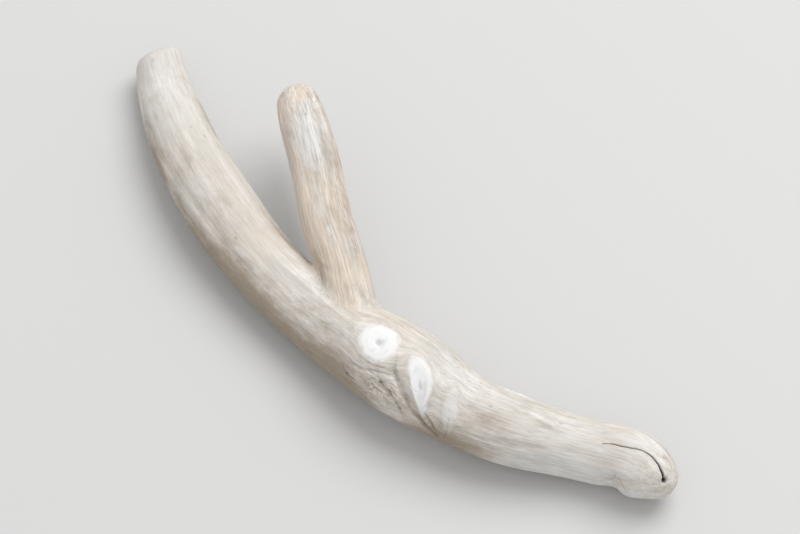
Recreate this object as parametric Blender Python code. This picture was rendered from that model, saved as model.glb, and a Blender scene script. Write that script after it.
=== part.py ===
# A piece of driftwood: one bent stem with one side branch, grown together and worn smooth.
# It lies on three low spots of its underside. Metres, +Z up.
# The origin is on the ground, in the middle of the piece's box.
# The stem runs along +X, from its slanted end to its split end.

import math

import bmesh
import bpy
import numpy as np

mm = 0.001

# Stations along the centre line of the stem, in millimetres:
# x, y, height of the centre, half width
stem_stations = [
    (-75.4, 1.2, 7.0, 5.3),
    (-68.0, -3.7, 5.5, 5.8),
    (-58.8, -9.1, 7.2, 6.8),
    (-50.7, -13.1, 7.9, 7.2),
    (-38.1, -17.6, 8.7, 7.7),
    (-30.3, -19.8, 8.4, 7.5),
    (-16.0, -22.3, 7.6, 7.3),
    (-4.0, -22.7, 7.4, 7.7),
    (9.5, -22.4, 9.3, 8.9),
    (23.2, -21.2, 10.3, 9.4),
    (34.1, -19.5, 9.2, 7.9),
    (43.7, -16.3, 8.7, 7.6),
    (53.5, -11.1, 7.4, 6.9),
    (61.9, -6.4, 6.5, 6.8),
    (68.8, -3.8, 7.2, 6.9),
    (74.3, -2.8, 7.4, 5.2),
    (78.0, -1.6, 7.6, 3.1),
]

# The same for the side branch, from inside the stem to its blunt tip
branch_stations = [
    (8.1, -22.6, 9.0, 6.5),
    (1.8, -18.7, 11.0, 5.8),
    (-5.9, -13.4, 13.2, 5.3),
    (-14.1, -8.6, 15.2, 5.4),
    (-24.9, -0.7, 17.4, 5.4),
    (-35.4, 6.3, 18.6, 5.0),
    (-41.6, 10.9, 19.0, 4.1),
]

# Worn ends, in millimetres: over how much length each end rounds off, and how square it stays
slanted_end_length = 3.0
slanted_end_squareness = 3.4
slanted_end_slope = 0.16
slant_fades_over = 8.0
split_end_length = 2.6
split_end_squareness = 2.4
branch_tip_length = 4.6
branch_tip_squareness = 2.2
branch_root_length = 3.0
branch_root_squareness = 2.0

# How far the sections are out of round, as a share of the half width,
# and how much that turns along the stick, in radians for each millimetre
oval = 0.035
oval_twist = -0.021
three_sided = 0.018
three_sided_twist = 0.034
stem_section_turn = 0.6
branch_section_turn = 1.9

# Places on a stick: distance along it in millimetres, and angle round it in degrees.
# On the stem 0 faces +Y, 90 is the top, 180 faces -Y and 270 is the underside.
# Swellings and hollows: along, angle, reach along, reach across, height
stem_swellings = [
    (0.0, 190.0, 4.0, 4.5, -0.9),
    (20.0, 250.0, 9.0, 6.0, 0.35),
    (52.0, 120.0, 14.0, 5.0, -0.25),
    (80.0, 64.0, 8.0, 4.0, 0.25),
    (99.5, 148.0, 4.5, 4.0, -0.40),
    (107.5, 60.0, 7.0, 5.0, 0.25),
    (118.0, 152.0, 6.0, 5.0, 0.35),
    (131.0, 60.0, 10.0, 5.0, -0.25),
    (150.3, 196.0, 2.8, 5.0, -1.0),
    (155.5, 200.0, 3.0, 4.5, 0.35),
]
branch_swellings = [
    (22.0, 150.0, 7.0, 4.0, 0.20),
    (36.0, 60.0, 8.0, 4.0, -0.20),
    (47.0, 120.0, 6.0, 3.5, 0.18),
    (60.0, 190.0, 4.0, 3.0, -0.5),
]

# Knots: along, angle, half length, half width, lean, taper, height of the rim, depth of the pit.
# The lean is how far the knot moves along for each millimetre across, and the taper is how much
# narrower it gets from its middle to its tail.
stem_knots = [
    (95.5, 96.0, 3.7, 3.9, 0.10, 0.0, 0.12, 0.40),
    (106.6, 115.0, 2.1, 4.7, 0.55, 0.45, 0.22, 0.12),
    (113.9, 122.0, 1.4, 4.6, 0.28, 0.0, 0.12, 0.0),
    (36.0, 300.0, 3.2, 2.8, 0.0, 0.15, 0.26, 0.45),
    (124.0, 18.0, 2.8, 2.4, 0.0, 0.10, 0.18, 0.35),
]
knot_rim_place = 0.95
knot_rim_width = 0.38
knot_pit_width = 0.28

# Furrows along the grain: from, to, angle at the start, angle at the end, half width, depth.
# A negative depth is a ridge. They wander a little, and fade out at both ends.
furrow_wander = 0.05
furrow_waves = 9.0
furrow_fade = 0.7
stem_furrows = [
    (99.5, 114.0, 110.0, 181.0, 0.9, 0.75),
    (108.5, 115.0, 140.0, 182.0, 0.8, 0.45),
    (97.0, 107.0, 166.0, 184.0, 0.8, -0.40),
    (6.0, 44.0, 92.0, 84.0, 0.9, 0.16),
    (18.0, 68.0, 148.0, 136.0, 1.1, 0.20),
    (30.0, 78.0, 58.0, 70.0, 1.0, 0.18),
    (60.0, 96.0, 190.0, 172.0, 1.0, 0.24),
    (117.0, 146.0, 92.0, 74.0, 1.0, 0.22),
    (122.0, 150.0, 138.0, 126.0, 0.9, 0.20),
    (12.0, 60.0, 230.0, 220.0, 1.2, 0.40),
    (66.0, 126.0, 318.0, 334.0, 1.2, 0.45),
    (90.0, 140.0, 232.0, 214.0, 1.1, 0.35),
    (44.0, 92.0, 12.0, 2.0, 1.0, -0.25),
]
branch_furrows = [
    (10.0, 44.0, 100.0, 84.0, 0.8, 0.16),
    (22.0, 56.0, 150.0, 136.0, 0.8, 0.18),
    (18.0, 58.0, 250.0, 262.0, 1.0, 0.30),
    (14.0, 50.0, 330.0, 318.0, 0.9, 0.24),
]

# Open cracks in the stem: along, angle, half width at the skin
end_crack = [
    (146.0, 99.0, 0.05),
    (149.0, 94.5, 0.14),
    (153.3, 92.0, 0.20),
    (157.0, 85.0, 0.24),
    (159.2, 90.0, 0.28),
    (160.7, 104.0, 0.32),
    (161.6, 124.0, 0.26),
]
underside_crack = [
    (24.0, 214.0, 0.05),
    (32.0, 211.0, 0.22),
    (42.0, 209.0, 0.28),
    (50.0, 205.0, 0.18),
    (56.0, 203.0, 0.05),
]
crack_depth = 1.5
crack_steps = 26
crack_mouth_height = 0.6
crack_mouth_flare = 1.4
end_hole_radius = 0.55

# Surface grid and finish
rings_per_mm = 2.5
rings_per_end = 18
sides = 112
voxel = 0.42
crease_reach = 2.2
crease_passes = 36
crease_pull = 0.6
triangles_kept = 10800

# The ground under the stations: the three low spots reach just below its top
ground_low = (-100.0, -60.0, -10.0)
ground_high = (100.0, 60.0, 0.0)

# Plain look of the wood
wood_colour = (0.60, 0.54, 0.47, 1.0)
wood_roughness = 0.85


def remove_scene_objects():
    for thing in list(bpy.data.objects):
        bpy.data.objects.remove(thing, do_unlink=True)


def along_stations(stations):
    # distance of each station from the first, measured along the chords
    places = np.array(stations, float)[:, :3]
    steps = np.linalg.norm(np.diff(places, axis=0), axis=1)
    return np.concatenate([[0.0], np.cumsum(steps)])


def smooth_through(stations, along):
    # natural cubic curve through the stations: position and half width at each distance
    values = np.array(stations, float)
    marks = along_stations(stations)
    steps = np.diff(marks)
    count = len(values)
    system = np.eye(count)
    right = np.zeros_like(values)
    slopes = np.diff(values, axis=0) / steps[:, None]
    for i in range(1, count - 1):
        system[i, i - 1] = steps[i - 1]
        system[i, i] = 2.0 * (steps[i - 1] + steps[i])
        system[i, i + 1] = steps[i]
        right[i] = 6.0 * (slopes[i] - slopes[i - 1])
    bends = np.linalg.solve(system, right)
    span = np.clip(np.searchsorted(marks, along, side="right") - 1, 0, count - 2)
    step = steps[span][:, None]
    left = (marks[span + 1] - along)[:, None]
    done = (along - marks[span])[:, None]
    return (
        bends[span] * left ** 3 / (6.0 * step)
        + bends[span + 1] * done ** 3 / (6.0 * step)
        + (values[span] / step - bends[span] * step / 6.0) * left
        + (values[span + 1] / step - bends[span + 1] * step / 6.0) * done
    )


def centre_line(stations, along):
    # centres, half widths, and at each centre the way forward, sideways and up
    values = smooth_through(stations, along)
    ahead = smooth_through(stations, along + 0.05)
    behind = smooth_through(stations, along - 0.05)
    forward = ahead[:, :3] - behind[:, :3]
    forward /= np.linalg.norm(forward, axis=1)[:, None]
    sideways = np.cross((0.0, 0.0, 1.0), forward)
    sideways /= np.linalg.norm(sideways, axis=1)[:, None]
    upward = np.cross(forward, sideways)
    return values[:, :3], values[:, 3], forward, sideways, upward


def angle_between(angle, middle):
    return (angle - middle + math.pi) % (2.0 * math.pi) - math.pi


def swelling_height(along, angle, half_width, rows):
    height = np.zeros_like(along + angle)
    for place, turn, reach, width, rise in rows:
        far = (along - place) / reach
        across = half_width * angle_between(angle, math.radians(turn)) / width
        height += rise * np.exp(-far ** 2 - across ** 2)
    return height


def knot_height(along, angle, half_width, rows):
    # a raised rim round a shallow dish with a small pit in its middle
    height = np.zeros_like(along + angle)
    for place, turn, half_length, half_breadth, lean, taper, rim, pit in rows:
        across = half_width * angle_between(angle, math.radians(turn))
        far = along - place - lean * across
        share = across / half_breadth
        narrowed = half_length * (1.0 - taper * np.clip(share, -1.0, 1.0))
        out = np.sqrt((far / narrowed) ** 2 + share ** 2)
        height += rim * np.exp(-((out - knot_rim_place) / knot_rim_width) ** 2)
        height -= pit * np.exp(-(out / knot_pit_width) ** 2)
    return height


def furrow_height(along, angle, half_width, rows):
    height = np.zeros_like(along + angle)
    for first, last, turn, end_turn, width, depth in rows:
        share = np.clip((along - first) / (last - first), 0.0, 1.0)
        middle = math.radians(turn) + math.radians(end_turn - turn) * share
        middle = middle + furrow_wander * np.sin(furrow_waves * share)
        across = half_width * angle_between(angle, middle) / width
        height -= depth * np.sin(math.pi * share) ** furrow_fade * np.exp(-across ** 2)
    return height


def rounded_end(distance, length, squareness):
    # 0 at the very end, 1 once the end has rounded off
    share = np.clip(distance / length, 0.0, 1.0)
    return (1.0 - (1.0 - share) ** squareness) ** (1.0 / squareness)


def out_of_round(along, angle, turn):
    two = oval * np.cos(2.0 * angle + oval_twist * along + turn)
    three = three_sided * np.cos(3.0 * angle + three_sided_twist * along + 2.0 * turn)
    return 1.0 + two + three


def stem_radius(along, angle, half_width, length):
    radius = half_width * out_of_round(along, angle, stem_section_turn)
    radius = radius + swelling_height(along, angle, half_width, stem_swellings)
    radius = radius + knot_height(along, angle, half_width, stem_knots)
    radius = radius + furrow_height(along, angle, half_width, stem_furrows)
    start = rounded_end(along, slanted_end_length, slanted_end_squareness)
    end = rounded_end(length - along, split_end_length, split_end_squareness)
    return radius * start * end


def branch_radius(along, angle, half_width, length):
    radius = half_width * out_of_round(along, angle, branch_section_turn)
    radius = radius + swelling_height(along, angle, half_width, branch_swellings)
    radius = radius + furrow_height(along, angle, half_width, branch_furrows)
    start = rounded_end(along, branch_root_length, branch_root_squareness)
    end = rounded_end(length - along, branch_tip_length, branch_tip_squareness)
    return radius * start * end


def ring_places(length, start_length, end_length):
    # even steps along the stick, closer and closer where the ends round off
    turn = np.linspace(0.0, math.pi / 2.0, rings_per_end)
    start = start_length * (1.0 - np.cos(turn))
    end = length - end_length * (1.0 - np.cos(turn))[::-1]
    body = length - start_length - end_length
    middle = np.linspace(start_length, length - end_length, int(body * rings_per_mm))
    return np.concatenate([start, middle[1:-1], end])[1:-1]


def stick_skin(stations, along, angle, radius_rule, slope):
    # points on the skin: one row for each distance, one column for each angle
    length = along_stations(stations)[-1]
    centres, half_width, forward, sideways, upward = centre_line(stations, along)
    far = along[:, None]
    turn = angle[None, :]
    radius = radius_rule(far, turn, half_width[:, None], length)
    out = np.cos(turn)[..., None] * sideways[:, None] + np.sin(turn)[..., None] * upward[:, None]
    shift = -slope * radius * np.cos(turn) * np.exp(-far / slant_fades_over)
    return centres[:, None] + radius[..., None] * out + shift[..., None] * forward[:, None]


def stick_mesh(stations, radius_rule, start_length, end_length, slope=0.0):
    length = along_stations(stations)[-1]
    along = ring_places(length, start_length, end_length)
    angle = np.arange(sides) * 2.0 * math.pi / sides
    skin = stick_skin(stations, along, angle, radius_rule, slope)
    tips = smooth_through(stations, np.array([0.0, length]))[:, :3]
    points = np.vstack([skin.reshape(-1, 3), tips])
    first_tip = len(points) - 2
    last_tip = len(points) - 1
    last_ring = (len(along) - 1) * sides
    faces = []
    for ring in range(len(along) - 1):
        for side in range(sides):
            here = ring * sides + side
            beside = ring * sides + (side + 1) % sides
            faces.append((here, beside, beside + sides, here + sides))
    for side in range(sides):
        beside = (side + 1) % sides
        faces.append((beside, side, first_tip))
        faces.append((last_ring + side, last_ring + beside, last_tip))
    return points, faces


def new_object(name, points, faces):
    mesh = bpy.data.meshes.new(name)
    mesh.from_pydata([tuple(point) for point in points], [], faces)
    mesh.update()
    shape = bmesh.new()
    shape.from_mesh(mesh)
    bmesh.ops.recalc_face_normals(shape, faces=shape.faces)
    shape.to_mesh(mesh)
    shape.free()
    made = bpy.data.objects.new(name, mesh)
    bpy.context.scene.collection.objects.link(made)
    return made


def bake_modifiers(thing):
    # the shape with its modifiers worked in, as a mesh of its own
    bpy.context.view_layer.update()
    baked = bpy.data.meshes.new_from_object(thing.evaluated_get(bpy.context.evaluated_depsgraph_get()))
    thing.modifiers.clear()
    thing.data = baked
    baked.name = thing.name


def grown_together():
    # stem and branch as one skin, in millimetres
    stem_points, stem_faces = stick_mesh(
        stem_stations, stem_radius, slanted_end_length, split_end_length, slanted_end_slope
    )
    branch_points, branch_faces = stick_mesh(
        branch_stations, branch_radius, branch_root_length, branch_tip_length
    )
    moved = [tuple(i + len(stem_points) for i in face) for face in branch_faces]
    wood = new_object("driftwood", np.vstack([stem_points, branch_points]), stem_faces + moved)
    joined = wood.modifiers.new("grown together", "REMESH")
    joined.mode = "VOXEL"
    joined.voxel_size = voxel
    bake_modifiers(wood)
    return wood


def mesh_points(mesh):
    points = np.empty(len(mesh.vertices) * 3)
    mesh.vertices.foreach_get("co", points)
    return points.reshape(-1, 3)


def mesh_edges(mesh):
    edges = np.empty(len(mesh.edges) * 2, int)
    mesh.edges.foreach_get("vertices", edges)
    return edges.reshape(-1, 2)


def distance_outside(points, stations):
    # how far each point lies outside a plain round stick along the stations
    along = np.arange(0.0, along_stations(stations)[-1], 0.5)
    values = smooth_through(stations, along)
    nearest = np.full(len(points), 1.0e9)
    for place in values:
        gap = np.linalg.norm(points - place[:3], axis=1) - place[3]
        nearest = np.minimum(nearest, gap)
    return nearest


def soften_crease(wood):
    # wood flows from the stem into the branch: the crease between them is filled and rounded
    points = mesh_points(wood.data)
    edges = mesh_edges(wood.data)
    off_stem = np.abs(distance_outside(points, stem_stations))
    off_branch = np.abs(distance_outside(points, branch_stations))
    weight = np.exp(-((off_stem + off_branch) / crease_reach) ** 2)[:, None]
    links = np.bincount(edges.ravel(), minlength=len(points))[:, None]
    for _ in range(crease_passes):
        total = np.zeros_like(points)
        np.add.at(total, edges[:, 0], points[edges[:, 1]])
        np.add.at(total, edges[:, 1], points[edges[:, 0]])
        points += crease_pull * weight * (total / links - points)
    wood.data.vertices.foreach_set("co", points.ravel())
    wood.data.update()


def keep_fewer_triangles(wood):
    triangles = sum(len(face.vertices) - 2 for face in wood.data.polygons)
    fewer = wood.modifiers.new("fewer triangles", "DECIMATE")
    fewer.ratio = triangles_kept / triangles
    fewer.use_collapse_triangulate = True
    bake_modifiers(wood)


def box_corners(low, high):
    return [(x, y, z) for x in (low[0], high[0]) for y in (low[1], high[1]) for z in (low[2], high[2])]


def cut_away(wood, cutter):
    cut = wood.modifiers.new("cut", "BOOLEAN")
    cut.operation = "DIFFERENCE"
    cut.solver = "EXACT"
    cut.object = cutter
    bake_modifiers(wood)
    bpy.data.objects.remove(cutter, do_unlink=True)


def wear_flat_spots(wood):
    # the three low spots end in small flats on the ground
    faces = [(0, 1, 3, 2), (4, 6, 7, 5), (0, 4, 5, 1), (2, 3, 7, 6), (0, 2, 6, 4), (1, 5, 7, 3)]
    slab = new_object("ground slab", box_corners(ground_low, ground_high), faces)
    cut_away(wood, slab)


def crack_cutter(name, path):
    # a wedge that follows the skin, open above it and closing to a thin edge inside
    length = along_stations(stem_stations)[-1]
    marks = np.linspace(0.0, 1.0, len(path))
    share = np.linspace(0.0, 1.0, crack_steps)
    along, angle, half = (np.interp(share, marks, column) for column in np.array(path).T)
    nudge = 0.05
    skin = []
    for step_along, step_turn in ((0.0, 0.0), (nudge, 0.0), (0.0, nudge)):
        places = np.clip(along + step_along, 0.1, length - 0.1)
        turns = np.radians(angle) + step_turn
        rows = [
            stick_skin(stem_stations, places[i:i + 1], turns[i:i + 1], stem_radius, slanted_end_slope)[0, 0]
            for i in range(crack_steps)
        ]
        skin.append(np.array(rows))
    outward = np.cross(skin[2] - skin[0], skin[1] - skin[0])
    outward /= np.linalg.norm(outward, axis=1)[:, None]
    centres = centre_line(stem_stations, along)[0]
    facing = np.sign(np.sum(outward * (skin[0] - centres), axis=1))
    outward *= facing[:, None]
    forward = np.gradient(skin[0], axis=0)
    across = np.cross(forward, outward)
    across /= np.linalg.norm(across, axis=1)[:, None]
    opening = half[:, None] * across
    mouth = skin[0] + crack_mouth_height * outward
    left = mouth + crack_mouth_flare * opening
    right = mouth - crack_mouth_flare * opening
    root = skin[0] - crack_depth * (half / half.max())[:, None] * outward
    points = np.stack([left, right, root], axis=1).reshape(-1, 3)
    last = 3 * (crack_steps - 1)
    faces = [(0, 2, 1), (last, last + 1, last + 2)]
    for step in range(crack_steps - 1):
        for corner in range(3):
            here = 3 * step + corner
            beside = 3 * step + (corner + 1) % 3
            faces.append((here, beside, beside + 3, here + 3))
    return new_object(name, points, faces)


def end_hole_cutter():
    # the small dark hole in which the end crack stops
    length = along_stations(stem_stations)[-1]
    along = np.array([min(end_crack[-1][0], length - 0.1)])
    turn = np.radians([end_crack[-1][1]])
    skin = stick_skin(stem_stations, along, turn, stem_radius, slanted_end_slope)[0, 0]
    mesh = bpy.data.meshes.new("end hole")
    shape = bmesh.new()
    bmesh.ops.create_icosphere(shape, subdivisions=2, radius=end_hole_radius)
    bmesh.ops.translate(shape, verts=shape.verts, vec=skin)
    shape.to_mesh(mesh)
    shape.free()
    hole = bpy.data.objects.new("end hole", mesh)
    bpy.context.scene.collection.objects.link(hole)
    return hole


def open_cracks(wood):
    cut_away(wood, crack_cutter("end crack", end_crack))
    cut_away(wood, crack_cutter("underside crack", underside_crack))
    cut_away(wood, end_hole_cutter())


def settle_and_scale(wood):
    # middle of the box over the origin, lowest flat on the ground, metres
    points = mesh_points(wood.data)
    low = points.min(axis=0)
    high = points.max(axis=0)
    middle = np.array([(low[0] + high[0]) / 2.0, (low[1] + high[1]) / 2.0, low[2]])
    points = (points - middle) * mm
    wood.data.vertices.foreach_set("co", points.ravel())
    wood.data.update()


def bleached_wood():
    material = bpy.data.materials.new("bleached_wood")
    material.use_nodes = True
    shader = material.node_tree.nodes["Principled BSDF"]
    shader.inputs["Base Color"].default_value = wood_colour
    shader.inputs["Roughness"].default_value = wood_roughness
    shader.inputs["Metallic"].default_value = 0.0
    return material


def make_driftwood():
    wood = grown_together()
    soften_crease(wood)
    keep_fewer_triangles(wood)
    open_cracks(wood)
    wear_flat_spots(wood)
    settle_and_scale(wood)
    wood.data.shade_smooth()
    wood.data.materials.clear()
    wood.data.materials.append(bleached_wood())


def main():
    remove_scene_objects()
    make_driftwood()


main()
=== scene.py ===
import math

import bmesh
import bpy
import numpy as np
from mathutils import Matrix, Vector
from mathutils.kdtree import KDTree


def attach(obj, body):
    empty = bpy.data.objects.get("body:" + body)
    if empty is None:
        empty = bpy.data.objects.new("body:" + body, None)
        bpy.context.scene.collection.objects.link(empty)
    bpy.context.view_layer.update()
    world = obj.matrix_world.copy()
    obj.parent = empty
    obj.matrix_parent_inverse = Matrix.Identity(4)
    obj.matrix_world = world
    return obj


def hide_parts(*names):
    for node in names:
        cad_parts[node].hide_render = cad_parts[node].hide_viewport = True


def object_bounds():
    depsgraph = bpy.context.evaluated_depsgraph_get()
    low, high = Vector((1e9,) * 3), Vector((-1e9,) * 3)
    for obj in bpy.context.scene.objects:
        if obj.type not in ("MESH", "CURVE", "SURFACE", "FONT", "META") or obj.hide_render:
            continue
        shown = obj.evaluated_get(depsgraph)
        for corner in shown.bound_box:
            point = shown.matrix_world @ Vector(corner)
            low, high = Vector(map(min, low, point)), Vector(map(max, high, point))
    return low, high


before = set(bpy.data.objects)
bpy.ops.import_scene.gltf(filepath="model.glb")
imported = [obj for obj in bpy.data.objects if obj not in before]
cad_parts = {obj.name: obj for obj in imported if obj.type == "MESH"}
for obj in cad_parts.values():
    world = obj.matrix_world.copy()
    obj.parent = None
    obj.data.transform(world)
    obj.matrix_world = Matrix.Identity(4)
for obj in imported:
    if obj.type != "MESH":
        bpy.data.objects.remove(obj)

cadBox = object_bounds()
mm = 0.001
blockSize = 20000  # points handled at once, to save memory

# The wood: one stem and one side branch that grew together. Lengths in millimetres, angles in
# degrees. A place on a stick is how far along it, and the angle round it: on the stem 0 faces +Y,
# 90 is the top, 180 faces -Y and 270 is the underside.
driftwood = {
    "stem": [  # x, y, height of the centre, half width
        (-75.4, 1.2, 7.0, 5.3),
        (-68.0, -3.7, 5.5, 5.8),
        (-58.8, -9.1, 7.2, 6.8),
        (-50.7, -13.1, 7.9, 7.2),
        (-38.1, -17.6, 8.7, 7.7),
        (-30.3, -19.8, 8.4, 7.5),
        (-16.0, -22.3, 7.6, 7.3),
        (-4.0, -22.7, 7.4, 7.7),
        (9.5, -22.4, 9.3, 8.9),
        (23.2, -21.2, 10.3, 9.4),
        (34.1, -19.5, 9.2, 7.9),
        (43.7, -16.3, 8.7, 7.6),
        (53.5, -11.1, 7.4, 6.9),
        (61.9, -6.4, 6.5, 6.8),
        (68.8, -3.8, 7.2, 6.9),
        (74.3, -2.8, 7.4, 5.2),
        (78.0, -1.6, 7.6, 3.1),
    ],
    "branch": [
        (8.1, -22.6, 9.0, 6.5),
        (1.8, -18.7, 11.0, 5.8),
        (-5.9, -13.4, 13.2, 5.3),
        (-14.1, -8.6, 15.2, 5.4),
        (-24.9, -0.7, 17.4, 5.4),
        (-35.4, 6.3, 18.6, 5.0),
        (-41.6, 10.9, 19.0, 4.1),
    ],
    "stemEnds": (3.0, 3.4, 2.6, 2.4),  # rounding length and squareness, first end then last
    "branchEnds": (3.0, 2.0, 4.6, 2.2),
    "endSlope": 0.16,
    "slopeFades": 8.0,
    "oval": 0.035,
    "threeSided": 0.018,
    "twists": (0.021, 0.034),  # of the oval and the three-sided shape, radians a millimetre
    "knotRim": (0.95, 0.38),  # place and width of the rim, as a share of the knot
    "knotPit": 0.28,
    "furrowSway": 0.05,
    "furrowFade": 0.7,
    "stemSwellings": [  # along, angle, reach along, reach across, height
        (0.0, 190.0, 4.0, 4.5, -0.9),
        (20.0, 250.0, 9.0, 6.0, 0.35),
        (52.0, 120.0, 14.0, 5.0, -0.25),
        (80.0, 64.0, 8.0, 4.0, 0.25),
        (99.5, 148.0, 4.5, 4.0, -0.40),
        (107.5, 60.0, 7.0, 5.0, 0.25),
        (118.0, 152.0, 6.0, 5.0, 0.35),
        (131.0, 60.0, 10.0, 5.0, -0.25),
        (150.3, 196.0, 2.8, 5.0, -1.0),
        (155.5, 200.0, 3.0, 4.5, 0.35),
    ],
    "branchSwellings": [
        (22.0, 150.0, 7.0, 4.0, 0.20),
        (36.0, 60.0, 8.0, 4.0, -0.20),
        (47.0, 120.0, 6.0, 3.5, 0.18),
        (60.0, 190.0, 4.0, 3.0, -0.5),
    ],
    "knots": [  # along, angle, half length, half width, lean, taper, rim height, pit depth, whiteness
        (95.5, 96.0, 3.7, 3.9, 0.10, 0.0, 0.12, 0.40, 1.0),
        (106.6, 115.0, 2.1, 4.7, 0.55, 0.45, 0.22, 0.12, 0.9),
        (113.9, 122.0, 1.4, 4.6, 0.28, 0.0, 0.12, 0.0, 0.25),
        (36.0, 300.0, 3.2, 2.8, 0.0, 0.15, 0.26, 0.45, 0.35),
        (124.0, 18.0, 2.8, 2.4, 0.0, 0.10, 0.18, 0.35, 0.45),
    ],
    "stemFurrows": [  # from, to, angle at each end, half width, depth (negative for a ridge)
        (99.5, 114.0, 110.0, 181.0, 0.9, 0.75),
        (108.5, 115.0, 140.0, 182.0, 0.8, 0.45),
        (97.0, 107.0, 166.0, 184.0, 0.8, -0.40),
        (6.0, 44.0, 92.0, 84.0, 0.9, 0.16),
        (18.0, 68.0, 148.0, 136.0, 1.1, 0.20),
        (30.0, 78.0, 58.0, 70.0, 1.0, 0.18),
        (60.0, 96.0, 190.0, 172.0, 1.0, 0.24),
        (117.0, 146.0, 92.0, 74.0, 1.0, 0.22),
        (122.0, 150.0, 138.0, 126.0, 0.9, 0.20),
        (12.0, 60.0, 230.0, 220.0, 1.2, 0.40),
        (66.0, 126.0, 318.0, 334.0, 1.2, 0.45),
        (90.0, 140.0, 232.0, 214.0, 1.1, 0.35),
        (44.0, 92.0, 12.0, 2.0, 1.0, -0.25),
    ],
    "branchFurrows": [
        (10.0, 44.0, 100.0, 84.0, 0.8, 0.16),
        (22.0, 56.0, 150.0, 136.0, 0.8, 0.18),
        (18.0, 58.0, 250.0, 262.0, 1.0, 0.30),
        (14.0, 50.0, 330.0, 318.0, 0.9, 0.24),
    ],
    "endCrack": [  # along, angle, half width
        (146.3, 98.0, 0.07),
        (149.0, 94.5, 0.13),
        (151.1, 95.0, 0.15),
        (153.3, 92.0, 0.15),
        (154.8, 87.0, 0.16),
        (157.0, 84.5, 0.22),
        (159.2, 90.0, 0.27),
        (160.7, 104.0, 0.33),
        (161.5, 121.0, 0.34),
    ],
    "undersideCrack": [
        (24.0, 214.0, 0.08),
        (32.0, 211.0, 0.22),
        (42.0, 209.0, 0.28),
        (50.0, 205.0, 0.20),
        (56.0, 203.0, 0.08),
    ],
    "crackDepth": 1.1,
    "ringsPerMm": 2.5,
    "sides": 128,
    "voxel": 0.23,
    "creaseReach": 2.2,
    "creasePasses": 120,
    "creasePull": 0.6,
    "blendWidth": 3.2,  # over this the stem's grain turns into the branch's
    "branchFoot": 4.0,
    "trianglesKept": 192000,
}

# Relief finer than the solid's, in millimetres
fineRelief = {
    "grainLength": 16.0,
    "grainWidth": 0.75,
    "grainHeight": 0.050,
    "grainFades": 14.0,
    "swellLength": 22.0,
    "swellWidth": 3.6,
    "swellHeight": 0.09,
    "dentSize": 2.3,
    "dentHeight": 0.035,
    "roughPatch": (100.3, 146.0, 6.0, 4.6),
    "roughHeight": 0.20,
    "lumpSize": (2.6, 1.1, 1.1),
    "grainRoundKnots": (0.55, 0.9, 0.8),  # where the bend starts, its reach, its strength
    "knotEdge": (1.7, 0.3),  # where the knot's colour ends, and the width of its fading
    "knotSize": 3.6,
    "ringGap": 1.1,
    "ringHeight": 0.012,
    "pits": [  # along, angle, radius
        (102.1, 145.0, 0.34),
        (99.6, 142.0, 0.30),
        (105.3, 161.0, 0.32),
        (92.3, 160.0, 0.30),
        (3.1, 105.0, 0.20),
        (25.3, 76.0, 0.18),
        (133.0, 20.0, 0.26),
        (71.0, 352.0, 0.30),
        (58.0, 262.0, 0.34),
        (87.0, 287.0, 0.26),
        (18.0, 318.0, 0.24),
        (140.0, 248.0, 0.30),
    ],
    "pitLength": 1.4,  # as a share of its width
    "pitDepth": 0.22,
    "wrinkleSpread": 1.5,
    # the wrinkles' brown tint grows with depth: partly the folds' own colour, partly painted shade
    "wrinkleTint": 3.2,  # share of the tint for each millimetre of depth
    "endHoleRadius": 0.90,
    "endHoleDepth": 1.1,
    "endHoleProfile": 0.7,  # lower is steeper at the edge
    "crackProfile": 0.8,
    "endRingGap": 0.85,
    "endRingHeight": 0.03,
    "endReach": (4.0, 5.0),  # how far in from the first end and the last
    "endFacing": (0.55, 0.3),  # how far the skin turns to the end, and the width of the fading
    "endChecks": 3,
    "endCheckDepth": 0.12,
    "endCheckReach": (0.22, 0.85),  # shortest and longest, as a share of the half width
    "endCheckWidths": (0.20, 0.02),  # added at the heart, and left at the tip
    "finerNearCracks": 0.75,
    "carriedAcross": 0.08,
    "lineReach": 1.5,  # no line is wider than this
}

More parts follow.
